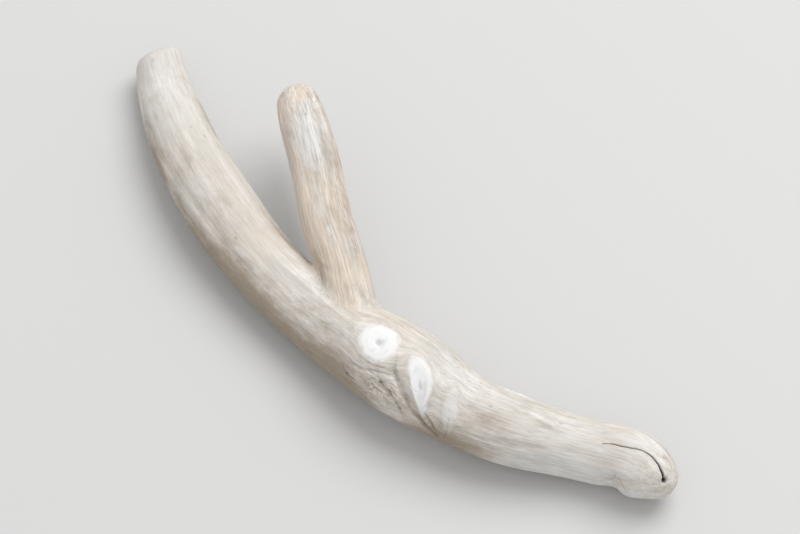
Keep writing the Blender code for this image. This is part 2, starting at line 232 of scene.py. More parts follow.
# Wrinkles where the wood healed over, each a depth and a path of along, angle, half width
wrinkles = [
    (0.32, [(100.8, 117.0, 0.20), (103.6, 135.0, 0.42), (105.3, 141.0, 0.52), (107.3, 152.0, 0.56),
            (109.6, 161.0, 0.52), (112.1, 172.0, 0.42), (114.0, 182.0, 0.20)]),
    (0.22, [(109.9, 145.0, 0.20), (111.8, 155.0, 0.42), (113.1, 166.0, 0.42), (114.2, 178.0, 0.20)]),
    (0.12, [(114.6, 134.0, 0.15), (115.2, 150.0, 0.26), (115.4, 166.0, 0.26), (115.0, 178.0, 0.15)]),
    (0.15, [(91.4, 137.0, 0.15), (93.2, 140.0, 0.30), (95.4, 139.0, 0.40), (98.1, 131.0, 0.38),
            (100.6, 126.0, 0.32), (102.0, 121.0, 0.15)]),
    (0.22, [(98.6, 136.0, 0.20), (100.1, 142.0, 0.46), (101.1, 146.0, 0.56), (102.3, 147.5, 0.46),
            (103.6, 151.0, 0.20)]),
    (0.17, [(103.4, 150.0, 0.20), (104.8, 157.0, 0.42), (105.8, 165.0, 0.42), (106.8, 172.0, 0.15)]),
    (0.10, [(99.8, 98.0, 0.20), (100.3, 103.0, 0.42), (100.8, 113.0, 0.46), (101.8, 119.0, 0.30)]),
    (0.16, [(90.6, 150.0, 0.20), (91.6, 158.0, 0.42), (92.9, 162.0, 0.46), (94.6, 160.0, 0.20)]),
    (0.12, [(95.4, 150.0, 0.18), (97.2, 154.0, 0.36), (98.6, 152.0, 0.36), (99.6, 156.0, 0.30),
            (100.2, 164.0, 0.15)]),
    (0.14, [(147.5, 186.0, 0.20), (149.5, 170.0, 0.36), (151.3, 157.0, 0.40), (151.6, 146.0, 0.20)]),
    (0.11, [(152.2, 150.0, 0.15), (153.8, 165.0, 0.30), (155.0, 178.0, 0.30), (155.8, 190.0, 0.15)]),
]

# Where the wood is browner, more bleached, greyer or warmer; some browner rows also paint shade and some
# bleached rows paint light. Each row is the stick, along, angle, reach along, reach across and share.
tintedPlaces = {
    "browner": [
        # these three rows darken the stem's lower flank: partly brown staining, partly painted shade
        ("stem", 66.0, 196.0, 36.0, 8.4, 1.20),
        ("stem", 88.0, 190.0, 12.0, 7.4, 1.50),
        ("stem", 27.0, 178.0, 11.0, 4.4, 0.85),
        ("stem", 22.0, 18.0, 8.0, 2.6, 0.70),
        ("stem", 60.0, 36.0, 11.0, 2.2, 0.70),
        ("stem", 106.0, 12.0, 11.0, 3.0, 0.70),
        ("stem", 146.0, 346.0, 9.0, 2.8, 0.60),
        ("stem", 158.0, 20.0, 4.0, 2.0, 0.55),
        ("stem", 115.0, 184.0, 9.0, 5.4, 1.05),
        ("stem", 60.0, 232.0, 40.0, 6.0, 0.60),
        ("stem", 130.0, 262.0, 26.0, 6.0, 0.60),
        ("stem", 40.0, 300.0, 24.0, 6.0, 0.50),
        ("stem", 34.0, 106.0, 4.5, 1.3, 0.36),
        ("stem", 46.0, 92.0, 5.0, 1.2, 0.45),
        ("stem", 84.0, 122.0, 6.0, 2.4, 0.55),
        ("stem", 122.0, 108.0, 7.0, 1.6, 0.50),
        ("stem", 133.0, 92.0, 3.0, 0.8, 0.55),
        ("branch", 34.0, 285.0, 22.0, 5.0, 0.60),
        ("branch", 18.0, 30.0, 6.0, 3.0, 0.55),
        ("branch", 36.0, 136.0, 24.0, 3.4, 0.52),
        ("branch", 19.0, 128.0, 5.0, 1.6, 0.55),
        ("branch", 46.0, 72.0, 3.6, 1.4, 0.45),
    ],
    "bleached": [
        ("stem", 112.0, 66.0, 8.0, 4.5, 0.50),
        ("stem", 99.0, 76.0, 5.0, 3.0, 0.50),
        ("stem", 156.0, 62.0, 5.5, 5.0, 0.65),
        ("stem", 142.0, 124.0, 9.0, 4.5, 0.35),
        ("stem", 72.0, 84.0, 16.0, 3.2, 0.40),
        ("stem", 14.0, 104.0, 12.0, 5.5, 0.45),
        ("stem", 41.5, 118.0, 3.0, 1.1, 0.45),
        ("stem", 53.0, 122.0, 7.0, 1.3, 0.40),
        ("stem", 102.2, 175.0, 3.4, 1.0, 0.90),
        ("stem", 100.3, 125.0, 1.8, 0.7, 0.75),
        ("stem", 114.0, 112.0, 2.0, 3.0, 0.45),
        # these two rows lighten the lower flank near the last end: partly bleached wood, partly painted
        # light
        ("stem", 140.0, 184.0, 15.0, 5.6, 1.15),
        ("stem", 156.0, 194.0, 5.5, 5.6, 1.05),
        ("stem", 154.5, 128.0, 4.0, 4.0, 0.55),
        ("stem", 42.0, 352.0, 11.0, 2.8, 0.70),
        ("stem", 84.0, 24.0, 9.0, 2.6, 0.65),
        ("stem", 132.0, 334.0, 8.0, 2.6, 0.65),
        ("stem", 8.0, 330.0, 5.0, 3.0, 0.55),
        # these two rows pale the branch's top: partly bleached wood, partly a painted highlight
        ("branch", 46.0, 82.0, 7.5, 3.0, 1.00),
        ("branch", 31.5, 84.0, 4.2, 2.4, 0.62),
    ],
    "greyer": [
        ("stem", 8.0, 102.0, 18.0, 8.0, 0.80),
        ("stem", 142.0, 110.0, 20.0, 9.0, 0.70),
        ("stem", 118.0, 70.0, 16.0, 6.0, 0.50),
    ],
    "warmer": [
        ("branch", 54.0, 26.0, 6.0, 3.2, 0.90),
        ("branch", 57.5, 80.0, 4.0, 4.5, 0.75),
        ("branch", 40.0, 34.0, 14.0, 3.0, 0.80),
        ("branch", 34.0, 150.0, 14.0, 2.6, 0.80),
        ("branch", 14.0, 100.0, 12.0, 5.0, 0.30),
        ("stem", 58.0, 84.0, 7.0, 5.0, 0.45),
        ("stem", 95.0, 150.0, 9.0, 3.0, 0.40),
        ("stem", 155.0, 168.0, 5.0, 3.5, 0.45),
    ],
}


# A smooth curve through the stations, and the frame of directions along it

def marksOf(stations):
    places = np.array(stations, float)[:, :3]
    steps = np.linalg.norm(np.diff(places, axis=0), axis=1)
    return np.concatenate([[0.0], np.cumsum(steps)])


def smoothThrough(stations, along):
    values = np.array(stations, float)
    marks = marksOf(stations)
    steps = np.diff(marks)
    count = len(values)
    system = np.eye(count)
    right = np.zeros_like(values)
    slopes = np.diff(values, axis=0) / steps[:, None]
    for i in range(1, count - 1):
        system[i, i - 1] = steps[i - 1]
        system[i, i] = 2.0 * (steps[i - 1] + steps[i])
        system[i, i + 1] = steps[i]
        right[i] = 6.0 * (slopes[i] - slopes[i - 1])
    bends = np.linalg.solve(system, right)
    span = np.clip(np.searchsorted(marks, along, side="right") - 1, 0, count - 2)
    step = steps[span][:, None]
    left = (marks[span + 1] - along)[:, None]
    done = (along - marks[span])[:, None]
    return (
        bends[span] * left ** 3 / (6.0 * step)
        + bends[span + 1] * done ** 3 / (6.0 * step)
        + (values[span] / step - bends[span] * step / 6.0) * left
        + (values[span + 1] / step - bends[span + 1] * step / 6.0) * done
    )


def centreLine(stations, along):
    values = smoothThrough(stations, along)
    forward = smoothThrough(stations, along + 0.05)[:, :3] - smoothThrough(stations, along - 0.05)[:, :3]
    forward /= np.linalg.norm(forward, axis=1)[:, None]
    sideways = np.cross((0.0, 0.0, 1.0), forward)
    sideways /= np.linalg.norm(sideways, axis=1)[:, None]
    upward = np.cross(forward, sideways)
    return values[:, :3], values[:, 3], forward, sideways, upward


def turnBetween(angle, middle):
    return (angle - middle + math.pi) % (2.0 * math.pi) - math.pi


# The large shape of each stick, the same as the solid's

def swellingHeight(along, angle, halfWidth, rows):
    height = np.zeros_like(along + angle)
    for place, turn, reach, width, rise in rows:
        far = (along - place) / reach
        across = halfWidth * turnBetween(angle, math.radians(turn)) / width
        height += rise * np.exp(-far ** 2 - across ** 2)
    return height


def knotDistance(along, angle, halfWidth, knot):
    # 1 on the knot's rim, 0 in its middle
    place, turn, halfLength, halfBreadth, lean, taper = knot[:6]
    across = halfWidth * turnBetween(angle, math.radians(turn))
    far = along - place - lean * across
    share = across / halfBreadth
    narrowed = halfLength * (1.0 - taper * np.clip(share, -1.0, 1.0))
    return np.sqrt((far / narrowed) ** 2 + share ** 2)


def knotHeight(along, angle, halfWidth, rows):
    height = np.zeros_like(along + angle)
    rimPlace, rimWidth = driftwood["knotRim"]
    for knot in rows:
        rim, pit = knot[6:8]
        out = knotDistance(along, angle, halfWidth, knot)
        height += rim * np.exp(-((out - rimPlace) / rimWidth) ** 2)
        height -= pit * np.exp(-(out / driftwood["knotPit"]) ** 2)
    return height


def furrowHeight(along, angle, halfWidth, rows):
    height = np.zeros_like(along + angle)
    for first, last, turn, endTurn, width, depth in rows:
        share = np.clip((along - first) / (last - first), 0.0, 1.0)
        middle = math.radians(turn) + math.radians(endTurn - turn) * share
        middle = middle + driftwood["furrowSway"] * np.sin(9.0 * share)
        across = halfWidth * turnBetween(angle, middle) / width
        fades = np.sin(math.pi * share) ** driftwood["furrowFade"]
        height -= depth * fades * np.exp(-across ** 2)
    return height


def roundedEnd(distance, length, squareness):
    share = np.clip(distance / length, 0.0, 1.0)
    return (1.0 - (1.0 - share) ** squareness) ** (1.0 / squareness)


def outOfRound(along, angle, turn):
    ovalTwist, threeSidedTwist = driftwood["twists"]
    two = driftwood["oval"] * np.cos(2.0 * angle - ovalTwist * along + turn)
    three = driftwood["threeSided"] * np.cos(3.0 * angle + threeSidedTwist * along + 2.0 * turn)
    return 1.0 + two + three


def endsShare(along, length, ends):
    start = roundedEnd(along, ends[0], ends[1])
    return start * roundedEnd(length - along, ends[2], ends[3])


def stemRadius(along, angle, halfWidth, length):
    radius = halfWidth * outOfRound(along, angle, 0.6)
    radius = radius + swellingHeight(along, angle, halfWidth, driftwood["stemSwellings"])
    radius = radius + knotHeight(along, angle, halfWidth, driftwood["knots"])
    radius = radius + furrowHeight(along, angle, halfWidth, driftwood["stemFurrows"])
    return radius * endsShare(along, length, driftwood["stemEnds"])


def branchRadius(along, angle, halfWidth, length):
    radius = halfWidth * outOfRound(along, angle, 1.9)
    radius = radius + swellingHeight(along, angle, halfWidth, driftwood["branchSwellings"])
    radius = radius + furrowHeight(along, angle, halfWidth, driftwood["branchFurrows"])
    return radius * endsShare(along, length, driftwood["branchEnds"])


def stickSkin(stations, along, turn, radiusRule, slope):
    # one row of points for each distance along; turn holds the angles of the columns
    length = marksOf(stations)[-1]
    centres, halfWidth, forward, sideways, upward = centreLine(stations, along)
    far = along[:, None]
    radius = radiusRule(far, turn, halfWidth[:, None], length)
    out = np.cos(turn)[..., None] * sideways[:, None] + np.sin(turn)[..., None] * upward[:, None]
    shift = -slope * radius * np.cos(turn) * np.exp(-far / driftwood["slopeFades"])
    return centres[:, None] + radius[..., None] * out + shift[..., None] * forward[:, None]


def ringPlaces(length, ends):
    turn = np.linspace(0.0, math.pi / 2.0, 22)
    start = ends[0] * (1.0 - np.cos(turn))
    end = length - ends[2] * (1.0 - np.cos(turn))[::-1]
    count = int((length - ends[0] - ends[2]) * driftwood["ringsPerMm"])
    middle = np.linspace(ends[0], length - ends[2], count)
    return np.concatenate([start, middle[1:-1], end])[1:-1]


def stickMesh(stations, radiusRule, ends, slope):
    length = marksOf(stations)[-1]
    sides = driftwood["sides"]
    along = ringPlaces(length, ends)
    angle = np.arange(sides) * 2.0 * math.pi / sides
    skin = stickSkin(stations, along, angle[None, :], radiusRule, slope)
    tips = smoothThrough(stations, np.array([0.0, length]))[:, :3]
    points = np.vstack([skin.reshape(-1, 3), tips])
    lastRing = (len(along) - 1) * sides
    faces = []
    for ring in range(len(along) - 1):
        for side in range(sides):
            here = ring * sides + side
            beside = ring * sides + (side + 1) % sides
            faces.append((here, beside, beside + sides, here + sides))
    for side in range(sides):
        beside = (side + 1) % sides
        faces.append((beside, side, len(points) - 2))
        faces.append((lastRing + side, lastRing + beside, len(points) - 1))
    return points, faces


def bakeModifiers(thing):
    bpy.context.view_layer.update()
    baked = bpy.data.meshes.new_from_object(thing.evaluated_get(bpy.context.evaluated_depsgraph_get()))
    thing.modifiers.clear()
    old = thing.data
    thing.data = baked
    bpy.data.meshes.remove(old)


def meshPoints(mesh):
    points = np.empty(len(mesh.vertices) * 3)
    mesh.vertices.foreach_get("co", points)
    return points.reshape(-1, 3)


def meshNormals(mesh):
    normals = np.empty(len(mesh.vertices) * 3)
    mesh.vertex_normals.foreach_get("vector", normals)
    return normals.reshape(-1, 3)


def setPoints(mesh, points):
    mesh.vertices.foreach_set("co", points.ravel())
    mesh.update()


def growTogether():
    stemPoints, stemFaces = stickMesh(
        driftwood["stem"], stemRadius, driftwood["stemEnds"], driftwood["endSlope"]
    )
    branchPoints, branchFaces = stickMesh(
        driftwood["branch"], branchRadius, driftwood["branchEnds"], 0.0
    )
    moved = [tuple(i + len(stemPoints) for i in face) for face in branchFaces]
    mesh = bpy.data.meshes.new("driftwoodPiece")
    mesh.from_pydata(np.vstack([stemPoints, branchPoints]).tolist(), [], stemFaces + moved)
    wood = bpy.data.objects.new("driftwoodPiece", mesh)
    bpy.context.scene.collection.objects.link(wood)
    joined = wood.modifiers.new("grown together", "REMESH")
    joined.mode = "VOXEL"
    joined.voxel_size = driftwood["voxel"]
    bakeModifiers(wood)
    return wood


# Where each point of the mesh lies on a stick

def placeOn(points, stations):
    length = marksOf(stations)[-1]
    marks = np.linspace(0.0, length, 80)
    coarse = smoothThrough(stations, marks)[:, :3]
    along = np.empty(len(points))
    for first in range(0, len(points), blockSize):
        block = points[first:first + blockSize]
        gaps = np.linalg.norm(block[:, None] - coarse[None], axis=2)
        along[first:first + blockSize] = marks[np.argmin(gaps, axis=1)]
    beyond = 1.5  # a place may lie a little past either end
    for _ in range(4):
        centres, _, forward, _, _ = centreLine(stations, along)
        ahead = np.sum((points - centres) * forward, axis=1)
        along = np.clip(along + ahead, -beyond, length + beyond)
    centres, halfWidth, forward, sideways, upward = centreLine(stations, along)
    away = points - centres
    right = np.sum(away * sideways, axis=1)
    above = np.sum(away * upward, axis=1)
    radius = np.hypot(right, above)
    return {
        "along": along,
        "angle": np.arctan2(above, right),
        "radius": radius,
        "halfWidth": halfWidth,
        "outside": np.linalg.norm(away, axis=1) - halfWidth,
        "forward": forward,
        "length": length,
    }


def softenCrease(wood):
    # the wood flows from the stem into the branch
    mesh = wood.data
    points = meshPoints(mesh)
    edges = np.empty(len(mesh.edges) * 2, int)
    mesh.edges.foreach_get("vertices", edges)
    edges = edges.reshape(-1, 2)
    offStem = np.abs(placeOn(points, driftwood["stem"])["outside"])
    offBranch = np.abs(placeOn(points, driftwood["branch"])["outside"])
    weight = np.exp(-((offStem + offBranch) / driftwood["creaseReach"]) ** 2)
    near = weight > 0.004
    kept = edges[near[edges[:, 0]] | near[edges[:, 1]]]
    links = np.maximum(np.bincount(kept.ravel(), minlength=len(points)), 1)
    first = np.concatenate([kept[:, 0], kept[:, 1]])
    second = np.concatenate([kept[:, 1], kept[:, 0]])
    for _ in range(driftwood["creasePasses"]):
        for axis in range(3):
            total = np.bincount(first, points[second, axis], len(points))
            pull = driftwood["creasePull"] * weight * (total / links - points[:, axis])
            points[:, axis] += np.where(near, pull, 0.0)
    setPoints(mesh, points)


# Noise on a wrapped lattice, for relief

def latticeNoise(places, seed):
    size = 32
    lattice = np.random.default_rng(seed).uniform(-1.0, 1.0, (size, size, size))
    cell = np.floor(places).astype(int)
    part = places - cell
    ease = part * part * part * (part * (part * 6.0 - 15.0) + 10.0)
    total = np.zeros(len(places))
    for corner in range(8):
        step = np.array([corner & 1, (corner >> 1) & 1, corner >> 2])
        index = (cell + step) % size
        share = np.where(step == 1, ease, 1.0 - ease).prod(axis=1)
        total += share * lattice[index[:, 0], index[:, 1], index[:, 2]]
    return total


def layeredNoise(places, layers, seed):
    total = np.zeros(len(places))
    for layer in range(layers):
        total += 0.5 ** layer * latticeNoise(places * 2.0 ** layer, seed + layer)
    return total


def grainSpace(place, rows):
    # the stick straightened out: along, then two lengths across, with the grain led round knots
    angle = place["angle"].copy()
    width = np.maximum(place["halfWidth"], 1.0)
    core, reach, most = fineRelief["grainRoundKnots"]
    for knot in rows:
        out = np.maximum(knotDistance(place["along"], angle, width, knot), core)
        turn = turnBetween(angle, math.radians(knot[1]))
        strength = min(most, 0.05 + most * knot[8])
        angle = angle - turn * strength * np.exp(-((out - core) / reach) ** 2)
    return np.stack(
        [place["along"], place["radius"] * np.cos(angle), place["radius"] * np.sin(angle)], axis=1
    )


def branchShareOf(onStem, onBranch):
    share = 0.5 + (onStem["outside"] - onBranch["outside"]) / driftwood["blendWidth"]
    share = np.clip(share, 0.0, 1.0)
    share = share * share * (3.0 - 2.0 * share)
    share[onBranch["along"] < driftwood["branchFoot"]] = 0.0
    return share


def patchShare(place, row):
    middle, turn, reach, width = row
    far = (place["along"] - middle) / reach
    across = place["halfWidth"] * turnBetween(place["angle"], math.radians(turn)) / width
    return np.exp(-far ** 2 - across ** 2)


def tintShare(rows, onStem, onBranch, branchShare):
    total = np.zeros(len(branchShare))
    for stick, middle, turn, reach, width, share in rows:
        place = onStem if stick == "stem" else onBranch
        onIt = 1.0 - branchShare if stick == "stem" else branchShare
        total = np.maximum(total, share * onIt * patchShare(place, (middle, turn, reach, width)))
    return total


def eased(values, reach=22):
    # rounds the corners of a path
    weights = np.hanning(2 * reach + 1)
    return np.convolve(np.pad(values, reach, mode="edge"), weights / weights.sum(), mode="valid")


def stemLine(path):
    # places on the stem's skin along a path, and the path's half width at each
    rows = np.array(path)
    marks = np.linspace(0.0, 1.0, len(path))
    share = np.linspace(0.0, 1.0, 50 * len(path))
    along, angle, half = (eased(np.interp(share, marks, column)) for column in rows.T)
    along = np.minimum(along, marksOf(driftwood["stem"])[-1] - 0.1)
    turn = np.radians(angle)[:, None]
    skin = stickSkin(driftwood["stem"], along, turn, stemRadius, driftwood["endSlope"])[:, 0]
    return skin, half


def insideBox(points, boxed, reach):
    # which points lie within the reach of the box round the boxed ones
    low = boxed.min(axis=0) - reach
    high = boxed.max(axis=0) + reach
    return np.nonzero(np.all((points > low) & (points < high), axis=1))[0]


def gapToLine(points, skin, reach):
    # distance from each point to the line, and the nearest place on it; far points are left out
    near = insideBox(points, skin, reach)
    gaps = np.empty(len(near))
    closest = np.empty(len(near), int)
    for first in range(0, len(near), blockSize):
        block = near[first:first + blockSize]
        away = np.linalg.norm(points[block][:, None] - skin[None], axis=2)
        closest[first:first + blockSize] = np.argmin(away, axis=1)
        gaps[first:first + blockSize] = away.min(axis=1)
    return near, gaps, closest


def lineShare(points, path):
    # 1 in the middle of the line, 0 at its edges
    skin, half = stemLine(path)
    near, gaps, closest = gapToLine(points, skin, fineRelief["lineReach"])
    result = np.zeros(len(points))
    result[near] = np.clip(1.0 - gaps / half[closest], 0.0, 1.0)
    return result


def wrinkleShares(points):
    # how deep each point lies in the wrinkles, and how far inside one, from 0 to 1
    depth = np.zeros(len(points))
    inside = np.zeros(len(points))
    for most, path in wrinkles:
        wider = [(along, angle, fineRelief["wrinkleSpread"] * half) for along, angle, half in path]
        share = lineShare(points, wider)
        share = share * share * (3.0 - 2.0 * share)
        depth = np.maximum(depth, most * share)
        inside = np.maximum(inside, share * min(1.0, fineRelief["wrinkleTint"] * most))
    return depth, inside


def pitShare(onStem):
    share = np.zeros(len(onStem["along"]))
    for along, angle, radius in fineRelief["pits"]:
        across = onStem["halfWidth"] * turnBetween(onStem["angle"], math.radians(angle))
        out = np.hypot((onStem["along"] - along) / fineRelief["pitLength"], across) / radius
        share = np.maximum(share, np.exp(-out ** 2))
    return share


def endHoleShare(points):
    # the small hole where the end crack stops
    skin, _ = stemLine(driftwood["endCrack"])
    gap = np.linalg.norm(points - skin[-1], axis=1)
    return np.clip(1.0 - gap / fineRelief["endHoleRadius"], 0.0, 1.0)


def carriedOver(finePoints, fineShare, points):
    # a share known on the finer mesh, read at each point from the nearest place on it
    inside = np.nonzero(fineShare > 0.0)[0]
    tree = KDTree(len(inside))
    for row, index in enumerate(inside):
        tree.insert(finePoints[index], row)
    tree.balance()
    most = fineRelief["carriedAcross"]
    share = np.zeros(len(points))
    for index in insideBox(points, finePoints[inside], most):
        _, row, gap = tree.find(points[index])
        if gap < most:
            share[index] = fineShare[inside[row]]
    return share


def finerNearCracks(wood):
    # two rounds of halved edges, so that the cracks come out crisp
    for _ in range(2):
        shape = bmesh.new()
        shape.from_mesh(wood.data)
        points = np.array([vertex.co for vertex in shape.verts])
        chosen = np.zeros(len(points), bool)
        for name in ("endCrack", "undersideCrack"):
            skin, _ = stemLine(driftwood[name])
            near, gaps, _ = gapToLine(points, skin, fineRelief["finerNearCracks"])
            chosen[near] |= gaps < fineRelief["finerNearCracks"]
        edges = [edge for edge in shape.edges if all(chosen[end.index] for end in edge.verts)]
        bmesh.ops.subdivide_edges(shape, edges=edges, cuts=1, use_grid_fill=True)
        shape.to_mesh(wood.data)
        shape.free()


def endGrainShare(place, normals):
    facing = np.abs(np.sum(normals * place["forward"], axis=1))
    firstReach, lastReach = fineRelief["endReach"]
    turned, fading = fineRelief["endFacing"]
    atEnd = (place["along"] < firstReach) | (place["along"] > place["length"] - lastReach)
    return np.where(atEnd, np.clip((facing - turned) / fading, 0.0, 1.0), 0.0)


def endCheckShare(place, draw):
    # fine splits that run out from the heart
    count = fineRelief["endChecks"]
    heartWidth, tipWidth = fineRelief["endCheckWidths"]
    share = np.zeros(len(place["along"]))
    for i in range(count):
        turn = 2.0 * math.pi * (i + draw.uniform(-0.45, 0.45)) / count
        reach = draw.uniform(*fineRelief["endCheckReach"]) * place["halfWidth"]
        bend = draw.uniform(-0.5, 0.5) * place["radius"] / place["halfWidth"]
        across = place["radius"] * np.sin(turnBetween(place["angle"], turn + bend))
        ahead = np.cos(turnBetween(place["angle"], turn)) > 0.0
        width = heartWidth * np.clip(1.0 - place["radius"] / reach, 0.0, 1.0) + tipWidth
        line = np.clip(1.0 - np.abs(across) / width, 0.0, 1.0)
        share = np.maximum(share, np.where(ahead & (place["radius"] < reach), line, 0.0))
    return share


def measure(points, normals):
    onStem = placeOn(points, driftwood["stem"])
    onBranch = placeOn(points, driftwood["branch"])
    stemGrain = grainSpace(onStem, driftwood["knots"])
    branchGrain = grainSpace(onBranch, [])
    branchShare = branchShareOf(onStem, onBranch)
    knotNear = np.full(len(points), 9.0)
    knotWhite = np.zeros(len(points))
    edge, fading = fineRelief["knotEdge"]
    for knot in driftwood["knots"]:
        out = knotDistance(onStem["along"], onStem["angle"], onStem["halfWidth"], knot)
        knotNear = np.minimum(knotNear, out)
        knotWhite = np.maximum(knotWhite, knot[8] * np.clip((edge - out) / fading, 0.0, 1.0))
    stemOnly = 1.0 - branchShare
    crack = np.maximum(
        lineShare(points, driftwood["endCrack"]), lineShare(points, driftwood["undersideCrack"])
    )
    wrinkleDepth, wrinkleBrownAndShade = wrinkleShares(points)
    endStem = endGrainShare(onStem, normals) * stemOnly
    endBranch = endGrainShare(onBranch, normals) * branchShare
    draw = np.random.default_rng(7)
    checks = endStem * endCheckShare(onStem, draw)
    checks += endBranch * endCheckShare(onBranch, draw)
    tints = {
        name: tintShare(rows, onStem, onBranch, branchShare) for name, rows in tintedPlaces.items()
    }
    return {
        "onStem": onStem,
        "onBranch": onBranch,
        "stemGrain": stemGrain,
        "branchGrain": branchGrain + np.array([400.0, 0.0, 0.0]),  # far off, so its grain differs
        "branchShare": branchShare,
        "knotNear": knotNear,
        "knotWhite": knotWhite * stemOnly,
        "roughPatch": patchShare(onStem, fineRelief["roughPatch"]) * stemOnly,
        "crack": crack,
        "endHole": endHoleShare(points),
        "wrinkleDepth": wrinkleDepth,
        "wrinkleBrownAndShade": wrinkleBrownAndShade,
        "pits": pitShare(onStem) * stemOnly,
        "endGrain": np.maximum(endStem, endBranch),
        "endChecks": checks,
        **tints,
    }


def grainHeight(grain, seed):
    fine = fineRelief
    stretched = grain / np.array([fine["grainLength"], fine["grainWidth"], fine["grainWidth"]])
    broad = grain / np.array([fine["swellLength"], fine["swellWidth"], fine["swellWidth"]])
    fades = 0.55 + 0.45 * latticeNoise(grain / fine["grainFades"], seed + 9)
    return (
        fine["grainHeight"] * fades * layeredNoise(stretched, 2, seed)
        + fine["swellHeight"] * layeredNoise(broad, 2, seed + 5)
        + fine["dentHeight"] * layeredNoise(grain / fine["dentSize"], 2, seed + 7)
    )


def reliefHeight(found):
    fine = fineRelief
    share = found["branchShare"]
    height = (1.0 - share) * grainHeight(found["stemGrain"], 11)
    height += share * grainHeight(found["branchGrain"], 11)
    inKnot = np.clip((1.4 - found["knotNear"]) / 0.4, 0.0, 1.0)
    height *= 1.0 - 0.7 * inKnot
    knotRings = np.cos(found["knotNear"] * 2.0 * math.pi * fine["knotSize"] / fine["ringGap"])
    height += fine["ringHeight"] * inKnot * knotRings
    lumps = layeredNoise(found["stemGrain"] / np.array(fine["lumpSize"]), 3, 23)
    height += fine["roughHeight"] * found["roughPatch"] * (1.0 - inKnot) * lumps
    endRings = np.cos(found["onStem"]["radius"] * 2.0 * math.pi / fine["endRingGap"])
    height += fine["endRingHeight"] * found["endGrain"] * endRings
    height -= fine["endCheckDepth"] * found["endChecks"]
    height -= fine["pitDepth"] * found["pits"]
    height -= found["wrinkleDepth"]
    height -= driftwood["crackDepth"] * found["crack"] ** fine["crackProfile"]
    height -= fine["endHoleDepth"] * found["endHole"] ** fine["endHoleProfile"]
    return height


def keepFewerTriangles(wood):
    triangles = sum(len(face.vertices) - 2 for face in wood.data.polygons)
    fewer = wood.modifiers.new("fewer triangles", "DECIMATE")
    fewer.ratio = min(1.0, driftwood["trianglesKept"] / triangles)
    fewer.use_collapse_triangulate = True
    bakeModifiers(wood)


def storeNumber(mesh, name, values):
    made = mesh.attributes.new(name, "FLOAT", "POINT")
    made.data.foreach_set("value", np.asarray(values, dtype=np.float32))


def storeVector(mesh, name, values):
    made = mesh.attributes.new(name, "FLOAT_VECTOR", "POINT")
    made.data.foreach_set("vector", np.asarray(values, dtype=np.float32).ravel())


def makeWood():
    wood = growTogether()
    softenCrease(wood)
    finerNearCracks(wood)
    points = meshPoints(wood.data)
    normals = meshNormals(wood.data)
    centred = (points.min(axis=0) + points.max(axis=0)) / 2.0
    fineFound = measure(points, normals)
    finePoints = points + normals * reliefHeight(fineFound)[:, None]
    setPoints(wood.data, finePoints)
    print("relief: done")
    keepFewerTriangles(wood)
    points = meshPoints(wood.data)
    found = measure(points, meshNormals(wood.data))
    for name in ("crack", "endHole"):  # too deep to be measured from the skin again
        found[name] = carriedOver(finePoints, fineFound[name], points)
    storeVector(wood.data, "stemGrain", found["stemGrain"])
    storeVector(wood.data, "branchGrain", found["branchGrain"])
    stored = (
        "branchShare", "knotNear", "knotWhite", "roughPatch", "crack", "endHole", "wrinkleBrownAndShade", "pits",
        "endGrain", "endChecks", *tintedPlaces,
    )
    for name in stored:
        storeNumber(wood.data, name, found[name])
    low, high = (np.array(corner) for corner in cadBox)
    middle = (low + high) / 2.0
    points = np.array([points[:, 0] - centred[0], points[:, 1] - centred[1], points[:, 2]]).T * mm
    points[:, 0] += middle[0]
    points[:, 1] += middle[1]
    points[:, 2] = np.maximum(points[:, 2], low[2])
    setPoints(wood.data, points)
    wood.data.shade_smooth()
    print("wood:", len(wood.data.vertices), "points,", len(wood.data.polygons), "triangles")
    return wood


# Small helpers for node trees

def addNode(tree, kind, **settings):
    node = tree.nodes.new(kind)
    for name, value in settings.items():
        setattr(node, name, value)
    return node


def join(tree, source, target):
    tree.links.new(source, target)


def attribute(tree, name, output="Fac"):
    node = addNode(tree, "ShaderNodeAttribute", attribute_name=name)
    return node.outputs[output]


def arithmetic(tree, operation, first, second=None):
    node = addNode(tree, "ShaderNodeMath", operation=operation)
    for i, value in enumerate((first, second)):
        if value is None:
            continue
        if isinstance(value, (int, float)):
            node.inputs[i].default_value = value
        else:
            join(tree, value, node.inputs[i])
    return node.outputs[0]


def times(tree, first, second):
    return arithmetic(tree, "MULTIPLY", first, second)


def between(tree, value, low, high, toLow=0.0, toHigh=1.0):
    node = addNode(tree, "ShaderNodeMapRange", interpolation_type="SMOOTHSTEP")
    join(tree, value, node.inputs["Value"])
    node.inputs["From Min"].default_value = low
    node.inputs["From Max"].default_value = high
    node.inputs["To Min"].default_value = toLow
    node.inputs["To Max"].default_value = toHigh
    return node.outputs["Result"]


def blend(tree, share, first, second, mode="MIX"):
    node = addNode(tree, "ShaderNodeMix", data_type="RGBA", blend_type=mode)
    for socket, value in ((node.inputs[0], share), (node.inputs[6], first), (node.inputs[7], second)):
        if isinstance(value, (int, float)):
            socket.default_value = value
        elif isinstance(value, tuple):
            socket.default_value = (*value, 1.0)
        else:
            join(tree, value, socket)
    return node.outputs[2]


def mixNumbers(tree, share, first, second):
    node = addNode(tree, "ShaderNodeMix", data_type="FLOAT")
    for i, value in ((0, share), (2, first), (3, second)):
        join(tree, value, node.inputs[i])
    return node.outputs[0]


def shaded(tree, colour, value):
    # the colour with each channel multiplied by the value
    node = addNode(tree, "ShaderNodeVectorMath", operation="SCALE")
    join(tree, colour, node.inputs[0])
    join(tree, value, node.inputs["Scale"])
    return node.outputs[0]


def stretch(tree, vector, scale, shift=(0.0, 0.0, 0.0)):
    node = addNode(tree, "ShaderNodeMapping")
    join(tree, vector, node.inputs["Vector"])
    node.inputs["Scale"].default_value = scale
    node.inputs["Location"].default_value = shift
    return node.outputs["Vector"]


